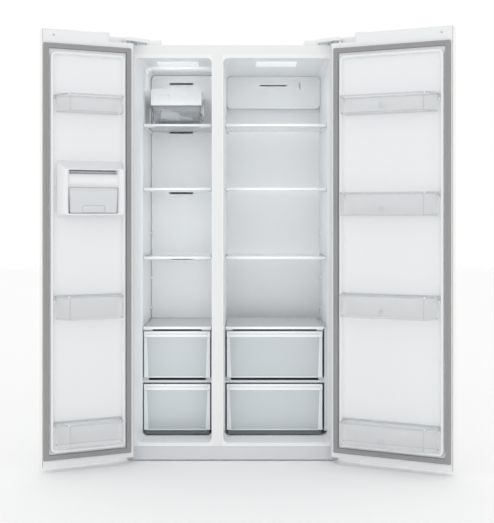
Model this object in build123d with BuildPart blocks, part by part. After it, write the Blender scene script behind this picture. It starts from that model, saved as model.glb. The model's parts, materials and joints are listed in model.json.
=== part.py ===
from build123d import *
import os

# Side by side refrigerator with a freezer on the left and a fridge on the right.
# Everything is modelled in cabinet coordinates, in millimetres: X to the right with 0 in the middle of
# the cabinet, Y to the back with 0 on the cabinet's front plane, Z up with 0 on the floor.
# The doors and what they carry are modelled shut, and are swung open when they are saved.

# ---------------------------------------------------------------- driving dimensions
CAB_W = 895.0            # width over the side panels
CAB_H = 1760.0           # top of the cabinet
CAB_D = 632.0            # front plane to rear panel
HALF_W = CAB_W / 2
SHEET = 1.0              # painted steel sheet
BODY_Z = 14.0            # underside of the side panels
FLANGE_Z = (61.0, 1721.0)     # liner flange, and so the top of the plinth and the foot of the top rail
FLANGE_X = 431.5              # outer edge of the liner flange

DIVIDER_X = -64.0             # middle of the divider between the two compartments
DIVIDER_COVER_W = 43.0

# Compartments: the mouth at the front plane narrows to the throat over the bevel, then runs straight back.
MOUTH_Z = (76.5, 1705.5)
THROAT_Z = (84.0, 1701.0)
FREEZER_MOUTH = (-415.5, -88.5)
FREEZER_THROAT = (-392.0, -92.0)
FRIDGE_MOUTH = (-39.5, 416.5)
FRIDGE_THROAT = (-35.0, 409.0)
BEVEL_DEPTH = 95.0
CAVITY_DEPTH = 545.0
CORNER_R = 20.0
LINER = 2.0                   # thickness of the vacuum formed liners
STEP_Y = 385.0                # the cavities step up over the machine bay behind this depth
STEP_Z = 305.0

# Machine bay at the bottom of the back
BAY_Y = 430.0
BAY_Z = (30.0, 262.0)
PAN = 2.0                     # base pan sheet

# Shelves
SHELF_TOPS = (1435.5, 1158.0, 859.5)
SHELF_Y = (100.0, 448.0)
GLASS = 4.0
TRIM_H = 10.0
TRIM_D = 13.0
FREEZER_SHELF_X = (-388.0, -96.0)
FRIDGE_SHELF_X = (-31.5, 405.5)
COVER_TOP = 555.5             # glass cover over the drawers
DRAWER_COVER_Y = (88.0, 476.0)
FREEZER_COVER_X = (-388.5, -95.5)
CRISPER_COVER_X = (-31.5, 392.5)
RIB_OUT = 8.0                 # ribs that carry the shelves stand out of the side walls
SPARE_RIBS = (960.0, 754.0, 613.0)      # short ribs for other shelf heights

# Drawers
DRAWER_Y = 92.0               # front of the drawers
UPPER_DRAWER_Z = (335.5, 537.0)
LOWER_DRAWER_Z = (108.0, 307.5)
UPPER_DRAWER_BACK = 445.0
LOWER_DRAWER_BACK = 375.0
FREEZER_DRAWER_X = (-386.0, -98.5)
CRISPER_X = (-27.0, 388.0)
CRISPER_WALL_X = 396.5        # the guide panel beside the crispers stands in from the liner
HANDLE_H = 26.0
DRAWER_WALL = 2.5

# Doors
DOOR_Z = (21.0, 1792.0)
DOOR_FACE_Y = (-68.0, -12.0)  # outer and inner face when shut
DOOR_GAP = 4.0
LEFT_DOOR_W = DIVIDER_X - DOOR_GAP / 2 + HALF_W
RIGHT_DOOR_W = HALF_W - DIVIDER_X - DOOR_GAP / 2
DOOR_EDGE_R = 8.0
PIN_IN = 14.0                 # hinge axis, from the cabinet's side
PIN_Y = -38.0                 # hinge axis, in front of the cabinet
PIN_R = 6.0
BUSH_CLEARANCE = 0.06
LEFT_OPEN = 156.8             # degrees that the doors stand open in the rest pose
RIGHT_OPEN = 156.3

NOTCH_L = 105.0               # cut-out in the door's top corner for the hinge
NOTCH_Z = 1758.0
FOOT_NOTCH_L = 62.0           # cut-out in the door's bottom corner
FOOT_NOTCH_Z = 29.0

GASKET_Z = (51.5, 1735.0)
GASKET_HINGE = 13.5           # gasket's outer edge from the door's hinge edge
GASKET_FREE = {-1: 4.0, 1: 9.0}   # and from its free edge, left and right door
GASKET_W = 22.0
GASKET_FRONT = -0.8           # sealing face when shut

RIDGE_IN = 26.0               # raised ridge of the door liner, from the gasket's outer edge
RIDGE_W = 15.0
RIDGE_H = 16.0
RIDGE_Z = (79.0, 1703.0)      # outer edges of the ridge, clear of the compartment mouths

LEFT_BASKETS = ((1456.0, 1527.0), (621.5, 716.0), (111.5, 205.5))
RIGHT_BASKETS = ((1453.5, 1527.0), (1039.0, 1132.5), (626.5, 718.5), (106.5, 200.5))
BASKET_DEPTH = 86.0
BASKET_WALL = 2.5
BASKET_SLANT = 42.0           # the free end of a basket slants back to clear the divider

HOUSING_Z = (1038.0, 1262.0)
HOUSING_FACE_Z = 1225.0       # top of the housing's upright face, where its slope begins
HOUSING_U = (55.5, 326.0)
HOUSING_FACE_U = (62.0, 306.0)
HOUSING_DEPTH = 76.0
DOOR_DRAWER_U = (90.0, 291.0)
DOOR_DRAWER_Z = (1048.0, 1149.0)
TRAY_U = (92.0, 289.0)
TRAY_Z = (1206.0, 1221.0)

# Ice maker in the top of the freezer
ICE_X = (-362.5, -140.5)
ICE_Z = (1525.0, 1599.0)
ICE_Y = (163.0, 461.8)
BUCKET_X = (-359.5, -143.5)
BUCKET_Z = (1451.0, 1523.5)
BUCKET_BAND = 25.0            # wider band at the bucket's rim
BUCKET_IN = 5.0               # step in below that band
BUCKET_BACK = 400.0

COVER_FACE_Y = 462.0          # front of the freezer's evaporator cover
DUCT_Y = 490.0                # front of the fridge's air duct cover
DUCT_Z = (1547.5, 1700.0)
SLOT_X = (-305.0, -194.0)
SLOT_TOPS = (1660.0, 1430.0, 1144.0, 834.0)
SLOT_H = 9.0

pieces = []                   # every finished piece, with the swing that it is saved with


# ---------------------------------------------------------------- helpers
def block(x, y, z, mode=Mode.ADD):
    """A box between two X, two Y and two Z values, in the part being built."""
    with Locations(((x[0] + x[1]) / 2, (y[0] + y[1]) / 2, (z[0] + z[1]) / 2)):
        Box(abs(x[1] - x[0]), abs(y[1] - y[0]), abs(z[1] - z[0]), mode=mode)


def rod(radius, start, length, axis, mode=Mode.ADD):
    """A cylinder from a start point, along +X, +Y or +Z."""
    turn = {"X": (0, 90, 0), "Y": (-90, 0, 0), "Z": (0, 0, 0)}[axis]
    with Locations(Location(start, turn)):
        Cylinder(radius, length, align=(Align.CENTER, Align.CENTER, Align.MIN), mode=mode)


def upright(y):
    """The X-Z plane at a depth of y, whose normal points to the front."""
    return Plane(origin=(0, y, 0), x_dir=(1, 0, 0), z_dir=(0, -1, 0))


def rounded_sheet(x, z, y, radius, mode=Mode.ADD):
    """An upright sheet between two depths, with its four corners rounded."""
    with BuildSketch(upright(y[0])) as outline:
        with Locations(((x[0] + x[1]) / 2, (z[0] + z[1]) / 2)):
            RectangleRounded(abs(x[1] - x[0]), z[1] - z[0], radius)
    extrude(outline.sketch, amount=-(y[1] - y[0]), mode=mode)


def widen(span, grow):
    """A span moved outward by grow at both ends."""
    return (min(span) - grow, max(span) + grow)


def keep(part, label, swing=None):
    """Name a finished piece and put it on the list to be saved."""
    part.label = label
    pieces.append((part, swing))


def door_x(side, *distances):
    """X of points measured along a shut door from its hinge edge; side is -1 left, 1 right."""
    return tuple(side * (HALF_W - distance) for distance in distances)


# ---------------------------------------------------------------- cabinet shell
with BuildPart() as outer_wrap:
    block((-HALF_W, HALF_W), (0, CAB_D - SHEET), (BODY_Z, CAB_H))
    fillet(outer_wrap.edges().filter_by(Axis.Y).group_by(Axis.Z)[-1], 2)
    block((-HALF_W + SHEET, HALF_W - SHEET), (SHEET, CAB_D), (0, CAB_H - SHEET), Mode.SUBTRACT)
    block((-FLANGE_X, FLANGE_X), (-1, SHEET + 1), (0, FLANGE_Z[1]), Mode.SUBTRACT)
keep(outer_wrap.part, "outer_wrap")

with BuildPart() as rear_panel:
    block((-HALF_W, HALF_W), (CAB_D - SHEET, CAB_D), (BAY_Z[1], CAB_H))
    for rib_x in (-300, -150, 150, 300):
        block((rib_x - 9, rib_x + 9), (CAB_D, CAB_D + 3), (BAY_Z[1] + 60, CAB_H - 60))
    fillet(rear_panel.faces().sort_by(Axis.Y)[-4:].edges(), 2)
keep(rear_panel.part, "rear_panel")


def cavity(mouth, throat, grow):
    """The space of a compartment, grown outward by a thickness."""
    mouth_x = widen(mouth, grow)
    throat_x = widen(throat, grow)
    with BuildPart() as space:
        with BuildSketch(upright(0)):
            with Locations((sum(mouth_x) / 2, sum(MOUTH_Z) / 2)):
                RectangleRounded(mouth_x[1] - mouth_x[0], MOUTH_Z[1] - MOUTH_Z[0] + 2 * grow,
                                 CORNER_R + grow)
        with BuildSketch(upright(BEVEL_DEPTH)) as throat_outline:
            with Locations((sum(throat_x) / 2, sum(THROAT_Z) / 2)):
                RectangleRounded(throat_x[1] - throat_x[0], THROAT_Z[1] - THROAT_Z[0] + 2 * grow,
                                 CORNER_R + grow)
        loft()
        extrude(throat_outline.sketch, amount=-(CAVITY_DEPTH - BEVEL_DEPTH + grow))
        block(widen(throat_x, 5), (STEP_Y + grow, CAVITY_DEPTH + 20), (0, STEP_Z - grow), Mode.SUBTRACT)
    return space.part


def liner(mouth, throat, flange_x):
    """A vacuum formed compartment liner with its front flange."""
    shell = cavity(mouth, throat, LINER)
    space = cavity(mouth, throat, 0)
    with BuildPart() as formed:
        add(shell)
        block(flange_x, (0, LINER), FLANGE_Z)
        add(space, mode=Mode.SUBTRACT)
        for wall, inward in ((throat[0], 1), (throat[1], -1)):
            rib_x = (wall - inward, wall + inward * RIB_OUT)
            for top in SHELF_TOPS:
                block(rib_x, (SHELF_Y[0] + TRIM_D + 6, SHELF_Y[1]), (top - GLASS - 7.3, top - GLASS - 0.3))
            for top in SPARE_RIBS:
                block(rib_x, (SHELF_Y[1] - 50, SHELF_Y[1]), (top - 7, top))
    return formed.part


divider_edges = (DIVIDER_X - DIVIDER_COVER_W / 2, DIVIDER_X + DIVIDER_COVER_W / 2)
keep(liner(FREEZER_MOUTH, FREEZER_THROAT, (-FLANGE_X, divider_edges[0])), "freezer_liner")
keep(liner(FRIDGE_MOUTH, FRIDGE_THROAT, (divider_edges[1], FLANGE_X)), "fridge_liner")

with BuildPart() as divider_cover:
    block(divider_edges, (0, LINER), FLANGE_Z)
    for edge, inward in ((divider_edges[0], 1), (divider_edges[1], -1)):
        block((edge + inward * 2, edge + inward * 4), (LINER, 16), (FLANGE_Z[0] + 4, FLANGE_Z[1] - 4))
keep(divider_cover.part, "divider_cover")

with BuildPart() as cabinet_foam:
    block((-HALF_W + 1.5, HALF_W - 1.5), (LINER + 0.5, CAB_D - 1.5), (BAY_Z[0] + PAN + 1, CAB_H - 1.5))
    block((-HALF_W, HALF_W), (BAY_Y - 1, CAB_D), (0, BAY_Z[1] + 1), Mode.SUBTRACT)
    block(widen(divider_edges, -1), (0, 17), FLANGE_Z, Mode.SUBTRACT)
    add(cavity(FREEZER_MOUTH, FREEZER_THROAT, LINER + 0.5), mode=Mode.SUBTRACT)
    add(cavity(FRIDGE_MOUTH, FRIDGE_THROAT, LINER + 0.5), mode=Mode.SUBTRACT)
keep(cabinet_foam.part, "cabinet_foam")

with BuildPart() as plinth:
    block((-FLANGE_X + 0.5, FLANGE_X - 0.5), (0, 2.2), (4, FLANGE_Z[0] - 0.5))
    fillet(plinth.edges().filter_by(Axis.X).group_by(Axis.Y)[0], 0.8)
keep(plinth.part, "plinth")

# ---------------------------------------------------------------- base and machine bay
ROLLER_R = 14.0
ROLLER_X = 370.0
ROLLER_Y = 585.0
AXLE_R = 4.0
with BuildPart() as base_pan:
    block((-HALF_W + 2, HALF_W - 2), (6, CAB_D - 3), (BAY_Z[0], BAY_Z[0] + PAN))
    block((-HALF_W + 2, HALF_W - 2), (BAY_Y, BAY_Y + PAN), BAY_Z)
    block((-HALF_W + 2, HALF_W - 2), (BAY_Y, CAB_D - 3), (BAY_Z[1] - PAN, BAY_Z[1]))
    for middle in (-ROLLER_X, ROLLER_X):
        for ear in (-15.5, 13.0):
            ear_x = (middle + ear, middle + ear + 2.5)
            block(ear_x, (ROLLER_Y - 12, ROLLER_Y + 12), (ROLLER_R - 9, BAY_Z[0]))
        rod(AXLE_R, (middle - 15.5, ROLLER_Y, ROLLER_R), 31, "X")
keep(base_pan.part, "base_pan")

with BuildPart() as rear_rollers:
    for middle in (-ROLLER_X, ROLLER_X):
        rod(ROLLER_R, (middle - 11, ROLLER_Y, ROLLER_R), 22, "X")
    fillet(rear_rollers.edges().filter_by(GeomType.CIRCLE), 1.5)
    for middle in (-ROLLER_X, ROLLER_X):
        rod(AXLE_R + BUSH_CLEARANCE, (middle - 12, ROLLER_Y, ROLLER_R), 24, "X", Mode.SUBTRACT)
keep(rear_rollers.part, "rear_rollers")

with BuildPart() as levelling_feet:
    for foot_x in (-395, 395):
        with Locations((foot_x, 52, 0)):
            Cylinder(23, 8, align=(Align.CENTER, Align.CENTER, Align.MIN))
            Cylinder(11, 15, align=(Align.CENTER, Align.CENTER, Align.MIN))
            Cylinder(5, BAY_Z[0], align=(Align.CENTER, Align.CENTER, Align.MIN))
    chamfer(levelling_feet.edges().filter_by(GeomType.CIRCLE).group_by(Axis.Z)[1], 2)
keep(levelling_feet.part, "levelling_feet")


def coil(x, y, z, fins, rows, tube_r):
    """A finned tube coil: upright fins across X, with straight tubes through them and end bends."""
    pitch = (z[1] - z[0]) / rows
    with BuildPart() as built:
        for index in range(fins):
            at = x[0] + 12 + index * (x[1] - x[0] - 24) / (fins - 1)
            block((at - 0.6, at + 0.6), y, z)
        for row in range(rows):
            height = z[0] + (row + 0.5) * pitch
            for depth in (y[0] + (y[1] - y[0]) * 0.27, y[0] + (y[1] - y[0]) * 0.73):
                rod(tube_r, (x[0], depth, height), x[1] - x[0], "X")
        for row in range(rows):
            height = z[0] + (row + 0.5) * pitch
            end = x[0] if row % 2 else x[1] - 2 * tube_r
            block((end, end + 2 * tube_r), (y[0] + (y[1] - y[0]) * 0.27, y[0] + (y[1] - y[0]) * 0.73),
                  (height - tube_r * 0.8, height + tube_r * 0.8))
    return built.part


EVAPORATOR_X = (-372.0, -112.0)
keep(coil(EVAPORATOR_X, (482, 534), (400, 700), 22, 6, 4), "evaporator")

FAN_R = 62.0
SHAFT_R = 2.5


def fan(radius, depth):
    """A fan on the Z axis: a hub with a blind running bore and five twisted blades."""
    with BuildPart() as built:
        Cylinder(16, depth, align=(Align.CENTER, Align.CENTER, Align.MIN))
        with PolarLocations(0, 5):
            with Locations(Location((radius / 2 + 6, 0, depth / 2), (28, 0, 0))):
                Box(radius - 14, radius * 0.62, 2)
        Cylinder(radius, depth, align=(Align.CENTER, Align.CENTER, Align.MIN), mode=Mode.INTERSECT)
        rod(SHAFT_R + BUSH_CLEARANCE, (0, 0, 0), depth - 4, "Z", Mode.SUBTRACT)
    return built.part


FREEZER_FAN = (-242.0, 488.0, 860.0)     # front face of the freezer fan's hub, on its axis
freezer_fan = fan(FAN_R, 24).moved(Location(FREEZER_FAN, (-90, 0, 0)))
keep(freezer_fan, "evaporator_fan")

CONDENSER_FAN = (30.0, 525.0, 146.0)     # left face of the machine bay fan's hub, on its axis
bay_fan = fan(FAN_R + 8, 26).moved(Location(CONDENSER_FAN, (0, 90, 0)))
keep(bay_fan, "condenser_fan")

CONDENSER_X = (-330.0, -40.0)
condenser_block = coil(CONDENSER_X, (466, 590), (60, 236), 26, 5, 4.5)
with BuildPart() as condenser:
    add(condenser_block)
    block((-52, -46), (437, 613), (BAY_Z[0] + PAN, 240))
    rod(FAN_R + 14, (-60, CONDENSER_FAN[1], CONDENSER_FAN[2]), 30, "X", Mode.SUBTRACT)
    block((-52, -46), (437, 613), (CONDENSER_FAN[2] - 8, CONDENSER_FAN[2] + 8))
    rod(24, (-52, CONDENSER_FAN[1], CONDENSER_FAN[2]), CONDENSER_FAN[0] + 46, "X")
    rod(SHAFT_R, (-52, CONDENSER_FAN[1], CONDENSER_FAN[2]), CONDENSER_FAN[0] + 72, "X")
keep(condenser.part, "condenser")

COMPRESSOR = (255.0, 530.0)
with BuildPart() as compressor:
    with BuildSketch(Plane.XZ):
        with BuildLine():
            Polyline((0, 44), (66, 44), (84, 66), (84, 150), (66, 182), (0, 196))
            Line((0, 196), (0, 44))
        make_face()
    revolve(axis=Axis.Z)
    fillet(compressor.edges().filter_by(GeomType.CIRCLE), 9)
    block((-105, 105), (-62, 62), (38, 47))
    for foot_x in (-90, 90):
        for foot_y in (-48, 48):
            rod(13, (foot_x, foot_y, BAY_Z[0] + PAN), 38 - BAY_Z[0] - PAN, "Z")
            rod(5, (foot_x, foot_y, 38), 16, "Z")
    block((78, 104), (-24, 24), (80, 140))
    rod(4, (-40, 40, 150), 88, "Z")
    rod(3, (-52, -20, 150), 82, "Z")
keep(compressor.part.moved(Location((COMPRESSOR[0], COMPRESSOR[1], 0))), "compressor")

with BuildPart() as machine_cover:
    block((-HALF_W + 3, HALF_W - 3), (CAB_D - 2.5, CAB_D - 0.5), (BAY_Z[0] + 4, BAY_Z[1] - 1))
    with BuildSketch(upright(CAB_D)) as vents:
        with Locations((-185, 146)):
            with GridLocations(22, 62, 16, 3):
                SlotOverall(44, 5, rotation=90)
        with Locations((250, 146)):
            with GridLocations(22, 62, 12, 3):
                SlotOverall(44, 5, rotation=90)
    extrude(vents.sketch, amount=4, both=True, mode=Mode.SUBTRACT)
keep(machine_cover.part, "machine_cover")

# ---------------------------------------------------------------- freezer and fridge fittings
with BuildPart() as evaporator_cover:
    cover_x = widen(FREEZER_THROAT, -1.5)
    rounded_sheet(cover_x, (STEP_Z + 1, THROAT_Z[1] - 1.5), (COVER_FACE_Y, COVER_FACE_Y + 3), CORNER_R)
    for edge in ((cover_x[0], cover_x[0] + 3), (cover_x[1] - 3, cover_x[1])):
        block(edge, (COVER_FACE_Y + 2, COVER_FACE_Y + 16), (STEP_Z + 40, THROAT_Z[1] - 40))
    with BuildSketch(upright(COVER_FACE_Y - 1)) as slots:
        for slot_z in SLOT_TOPS:
            with Locations((sum(SLOT_X) / 2, slot_z)):
                RectangleRounded(SLOT_X[1] - SLOT_X[0], SLOT_H, 3)
        with Locations((sum(cover_x) / 2, STEP_Z + 45)):
            with GridLocations(0, 13, 1, 4):
                RectangleRounded(220, 6, 2)
    extrude(slots.sketch, amount=-6, mode=Mode.SUBTRACT)
    fan_gap = FREEZER_FAN[1] - COVER_FACE_Y - 3
    rod(20, (FREEZER_FAN[0], COVER_FACE_Y + 2, FREEZER_FAN[2]), fan_gap - 2, "Y")
    rod(SHAFT_R, (FREEZER_FAN[0], COVER_FACE_Y + 2, FREEZER_FAN[2]), fan_gap + 18, "Y")
keep(evaporator_cover.part, "evaporator_cover")

with BuildPart() as fridge_duct_cover:
    duct_x = (FRIDGE_THROAT[0] + 1, FRIDGE_THROAT[1] - 1)
    rounded_sheet(duct_x, DUCT_Z, (DUCT_Y, CAVITY_DEPTH - 0.2), CORNER_R)
    rounded_sheet(widen(duct_x, -3), widen(DUCT_Z, -3), (DUCT_Y + 2.5, CAVITY_DEPTH), CORNER_R - 3,
                  Mode.SUBTRACT)
    block((122, 248), (DUCT_Y - 1, DUCT_Y + 4), (1653, 1659), Mode.SUBTRACT)
    block((311, 314), (DUCT_Y - 1, DUCT_Y + 4), (1640, 1672), Mode.SUBTRACT)
keep(fridge_duct_cover.part, "fridge_duct_cover")

LIGHT_Y = (68.0, 176.0)
with BuildPart() as ceiling_lights:
    for light_x in ((-328, -151), (100, 276)):
        block(light_x, LIGHT_Y, (THROAT_Z[1] - 4.5, THROAT_Z[1]))
    fillet(ceiling_lights.edges().filter_by(Axis.Z), 5)
    fillet(ceiling_lights.faces().group_by(Axis.Z)[0].edges(), 1.5)
keep(ceiling_lights.part, "ceiling_lights")


def shelf(x, y, top, bracket_l=48.0):
    """A glass shelf: the sheet, and a front trim with deeper brackets at its ends, as two solids."""
    joint = y[0] + TRIM_D
    with BuildPart() as built:
        block(x, (joint + 0.2, y[1]), (top - GLASS, top))
        fillet(built.edges().filter_by(Axis.Z).group_by(Axis.Y)[-1], 6)
        block(x, (y[0], joint), (top - TRIM_H, top + 0.8))
        for end in ((x[0], x[0] + bracket_l), (x[1] - bracket_l, x[1])):
            block(end, (y[0] + 1, joint), (top - TRIM_H - 5, top - TRIM_H))
    return built.part


for number, top in enumerate(SHELF_TOPS, 1):
    keep(shelf(FREEZER_SHELF_X, SHELF_Y, top), f"freezer_shelf_{number}")
    keep(shelf(FRIDGE_SHELF_X, SHELF_Y, top), f"fridge_shelf_{number}")
keep(shelf(FREEZER_COVER_X, (DRAWER_COVER_Y[0], COVER_FACE_Y - 4), COVER_TOP, 40), "freezer_drawer_cover")
keep(shelf(CRISPER_COVER_X, DRAWER_COVER_Y, COVER_TOP, 30), "crisper_cover")


def drawer_frame(x, panel_r=0.0):
    """Side plates with ledges for the cover and rails for two drawers, joined by a cross bar.

    panel_r is the thickness that the right side plate adds beyond the left one.
    """
    rail = 24.0
    back = UPPER_DRAWER_BACK + 8
    low_z = THROAT_Z[0] + 1.5
    with BuildPart() as frame:
        for wall, inward, thick in ((x[0], 1, 1.5), (x[1], -1, 1.5 + panel_r)):
            face = wall + inward * thick
            block((wall, face), (DRAWER_Y + 4, STEP_Y - 2), (CORNER_R + low_z, COVER_TOP - GLASS))
            block((wall, face), (STEP_Y - 6, back), (STEP_Z + 3, COVER_TOP - GLASS))
            block((wall, face + inward * 9), (DRAWER_COVER_Y[0] + TRIM_D + 1, back),
                  (COVER_TOP - GLASS - 6, COVER_TOP - GLASS))
            block((wall, face + inward * rail), (DRAWER_Y + 12, back), (323, UPPER_DRAWER_Z[0] - 0.3))
            block((wall, face + inward * rail), (DRAWER_Y + 46, STEP_Y - 4), (102, LOWER_DRAWER_Z[0] - 0.3))
        block(x, (DRAWER_Y + 8, DRAWER_Y + 22), (313, 323))
    return frame.part


crisper_panel = FRIDGE_THROAT[1] - CRISPER_WALL_X - 1.5
with BuildPart() as drawer_rails:
    add(drawer_frame(widen(FREEZER_THROAT, -0.3)))
    add(drawer_frame(widen(FRIDGE_THROAT, -0.3), crisper_panel))
keep(drawer_rails.part, "drawer_rails")


def drawer_bin(x, z, back):
    """An open topped drawer, drafted towards its bottom, with a rim that its handle clips over."""
    draft = 9.0
    with BuildPart() as tub:
        with BuildSketch(Plane.XY.offset(z[0])):
            with Locations((sum(x) / 2, (DRAWER_Y + back) / 2)):
                RectangleRounded(x[1] - x[0] - 2 * draft, back - DRAWER_Y - draft, 12)
        with BuildSketch(Plane.XY.offset(z[1] - 8)):
            with Locations((sum(x) / 2, (DRAWER_Y + back) / 2)):
                RectangleRounded(x[1] - x[0] - 8, back - DRAWER_Y - 4, 12)
        loft()
        block(x, (DRAWER_Y + 1.2, DRAWER_Y + 4.2), (z[0], z[1] - HANDLE_H - 0.3))
        block(widen(x, -1), (DRAWER_Y + 9, back), (z[1] - 8, z[1] - 5))
        with BuildSketch(Plane.XY.offset(z[0] + DRAWER_WALL)):
            with Locations((sum(x) / 2, (DRAWER_Y + back) / 2)):
                RectangleRounded(x[1] - x[0] - 2 * draft - 2 * DRAWER_WALL,
                                 back - DRAWER_Y - draft - 2 * DRAWER_WALL, 10)
        with BuildSketch(Plane.XY.offset(z[1] + 1)):
            with Locations((sum(x) / 2, (DRAWER_Y + back) / 2)):
                RectangleRounded(x[1] - x[0] - 8 - 2 * DRAWER_WALL,
                                 back - DRAWER_Y - 4 - 2 * DRAWER_WALL, 10)
        loft(mode=Mode.SUBTRACT)
        block(x, (0, DRAWER_Y + 1.2), z, Mode.SUBTRACT)
    return tub.part


def drawer_handle(x, z):
    """The white band across a drawer's front, with a finger lip behind its lower edge."""
    with BuildPart() as band:
        block(x, (DRAWER_Y, DRAWER_Y + 9), (z[1] - HANDLE_H, z[1]))
        fillet(band.edges().filter_by(Axis.X).group_by(Axis.Y)[0], 2.5)
        block(widen(x, -4), (DRAWER_Y + 2.5, DRAWER_Y + 10), (z[1] - HANDLE_H - 1, z[1] - 9), Mode.SUBTRACT)
    return band.part


def drawer(name, x, z, back):
    """Save one drawer as its bin and its handle."""
    handle = drawer_handle(x, z)
    tub = drawer_bin(x, z, back)
    with BuildPart() as trimmed:
        add(tub)
        block(widen(x, 1), (DRAWER_Y - 1, DRAWER_Y + 9.2), (z[1] - HANDLE_H - 0.1, z[1] + 1), Mode.SUBTRACT)
    keep(trimmed.part, f"{name}_bin")
    keep(handle, f"{name}_handle")


drawer("freezer_drawer_upper", FREEZER_DRAWER_X, UPPER_DRAWER_Z, UPPER_DRAWER_BACK)
drawer("freezer_drawer_lower", FREEZER_DRAWER_X, LOWER_DRAWER_Z, LOWER_DRAWER_BACK)
drawer("crisper_upper", CRISPER_X, UPPER_DRAWER_Z, UPPER_DRAWER_BACK)
drawer("crisper_lower", CRISPER_X, LOWER_DRAWER_Z, LOWER_DRAWER_BACK)

# ---------------------------------------------------------------- ice maker
RAIL_Z = BUCKET_Z[1] - BUCKET_BAND
with BuildPart() as ice_maker:
    block(ICE_X, ICE_Y, ICE_Z)
    fillet(ice_maker.edges().filter_by(Axis.Y).group_by(Axis.Z)[-1], 9)
    block(widen(ICE_X, -3), (ICE_Y[0] + 3, ICE_Y[1] - 3), (ICE_Z[0] + 8, ICE_Z[1] - 3), Mode.SUBTRACT)
    with BuildSketch(upright(ICE_Y[0])) as recesses:
        for recess_x in (ICE_X[0] + 54, ICE_X[1] - 54):
            with Locations((recess_x, ICE_Z[0] + 31)):
                RectangleRounded(66, 34, 10)
    extrude(recesses.sketch, amount=-1.6, mode=Mode.SUBTRACT)
    for wall, inward in ((ICE_X[0], 1), (ICE_X[1], -1)):
        block((wall, wall + inward * 2.2), (ICE_Y[0] + 30, ICE_Y[1] - 40), (RAIL_Z - 4, ICE_Z[0]))
        block((wall, wall + inward * 6.8), (ICE_Y[0] + 30, ICE_Y[1] - 40), (RAIL_Z - 4, RAIL_Z - 0.3))
keep(ice_maker.part, "ice_maker")

with BuildPart() as ice_bucket:
    bucket_y = (ICE_Y[0] + 1, BUCKET_BACK)
    low_x = widen(BUCKET_X, -BUCKET_IN)
    block(BUCKET_X, bucket_y, (RAIL_Z, BUCKET_Z[1]))
    block(low_x, bucket_y, (BUCKET_Z[0], RAIL_Z))
    fillet(ice_bucket.edges().filter_by(Axis.Y).group_by(Axis.Z)[0], 10)
    block(widen(low_x, -2.2), widen(bucket_y, -2.2), (BUCKET_Z[0] + 2.2, BUCKET_Z[1] + 1), Mode.SUBTRACT)
keep(ice_bucket.part, "ice_bucket")

with BuildPart() as ice_scoop:
    with BuildSketch(Plane.XZ.offset(35)):
        with BuildLine():
            Polyline((-70, 0), (12, 0), (20, 12), (20, 30), (10, 42), (-60, 50), (-70, 0))
        make_face()
    extrude(amount=-70)
    block((-66, 16), (-33, 33), (2, 60), Mode.SUBTRACT)
    block((-90, -60), (-33, 33), (2, 60), Mode.SUBTRACT)
    block((18, 72), (-9, 9), (12, 28))
    fillet(ice_scoop.edges().filter_by(Axis.Y).group_by(Axis.X)[-1], 6)
SCOOP_PLACE = (-262.0, 236.0, BUCKET_Z[0] + 11)
keep(ice_scoop.part.moved(Location(SCOOP_PLACE, (0, 7, 0))), "ice_scoop")

# ---------------------------------------------------------------- hinges
with BuildPart() as door_hinges:
    for side in (-1, 1):
        pin_x = side * (HALF_W - PIN_IN)
        inner_x = side * (HALF_W - 95)
        block((pin_x, inner_x), (8, 52), (CAB_H, CAB_H + 4))
        block((pin_x - 12, pin_x + 12), (PIN_Y, 20), (CAB_H + 1.5, CAB_H + 6))
        rod(12, (pin_x, PIN_Y, CAB_H + 1.5), 16, "Z")
        rod(PIN_R, (pin_x, PIN_Y, CAB_H - 20), 24, "Z")
        for bolt_x in (side * (HALF_W - 40), side * (HALF_W - 80)):
            rod(6, (bolt_x, 36, CAB_H + 4), 4, "Z")
        block((pin_x - 12, pin_x + 12), (PIN_Y, -1), (22, 26))
        block((pin_x - 12, pin_x + 12), (-2.5, 0), (8, 48))
        rod(12, (pin_x, PIN_Y, 22), 4, "Z")
        rod(PIN_R, (pin_x, PIN_Y, 24), 22, "Z")
keep(door_hinges.part, "door_hinges")

COVER_WALL = 3.0
COVER_X = (304.0, 446.0)      # from the cabinet's middle, on both sides
COVER_Y = (4.0, 66.0)
VISOR_FROM = 352.0            # the visor sweeps forward over the hinge pin from here
VISOR_R = 23.0


def visor(side, inset, low, high, mode=Mode.ADD):
    """The hull of a circle round the hinge pin and a rectangle over the cabinet, shrunk by inset."""
    x = (side * (VISOR_FROM + inset), side * (COVER_X[1] - inset))
    y = widen(COVER_Y, -inset)
    with BuildSketch(Plane.XY.offset(low)) as plan:
        with Locations((side * (HALF_W - PIN_IN), PIN_Y)):
            Circle(VISOR_R - inset)
        with Locations((sum(x) / 2, sum(y) / 2)):
            Rectangle(abs(x[1] - x[0]), y[1] - y[0])
        make_hull()
    extrude(plan.sketch, amount=high - low, mode=mode)


with BuildPart() as hinge_covers:
    for side in (-1, 1):
        edges = (side * COVER_X[0], side * COVER_X[1])
        block(edges, COVER_Y, (CAB_H, CAB_H + 21))
        visor(side, 0, CAB_H + 9, CAB_H + 24)
        block(widen(edges, -COVER_WALL), widen(COVER_Y, -COVER_WALL), (CAB_H - 1, CAB_H + 18), Mode.SUBTRACT)
        visor(side, COVER_WALL, CAB_H - 1, CAB_H + 21, Mode.SUBTRACT)
keep(hinge_covers.part, "hinge_covers")


# ---------------------------------------------------------------- doors
def notches(side, grow=0.0):
    """The corner cut-outs at the top and bottom of a door's hinge edge."""
    block(door_x(side, -5, NOTCH_L + grow), (-90, 10), (NOTCH_Z - grow, DOOR_Z[1] + 20), Mode.SUBTRACT)
    block(door_x(side, -5, FOOT_NOTCH_L + grow), (-90, 10), (0, FOOT_NOTCH_Z + grow), Mode.SUBTRACT)


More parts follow.
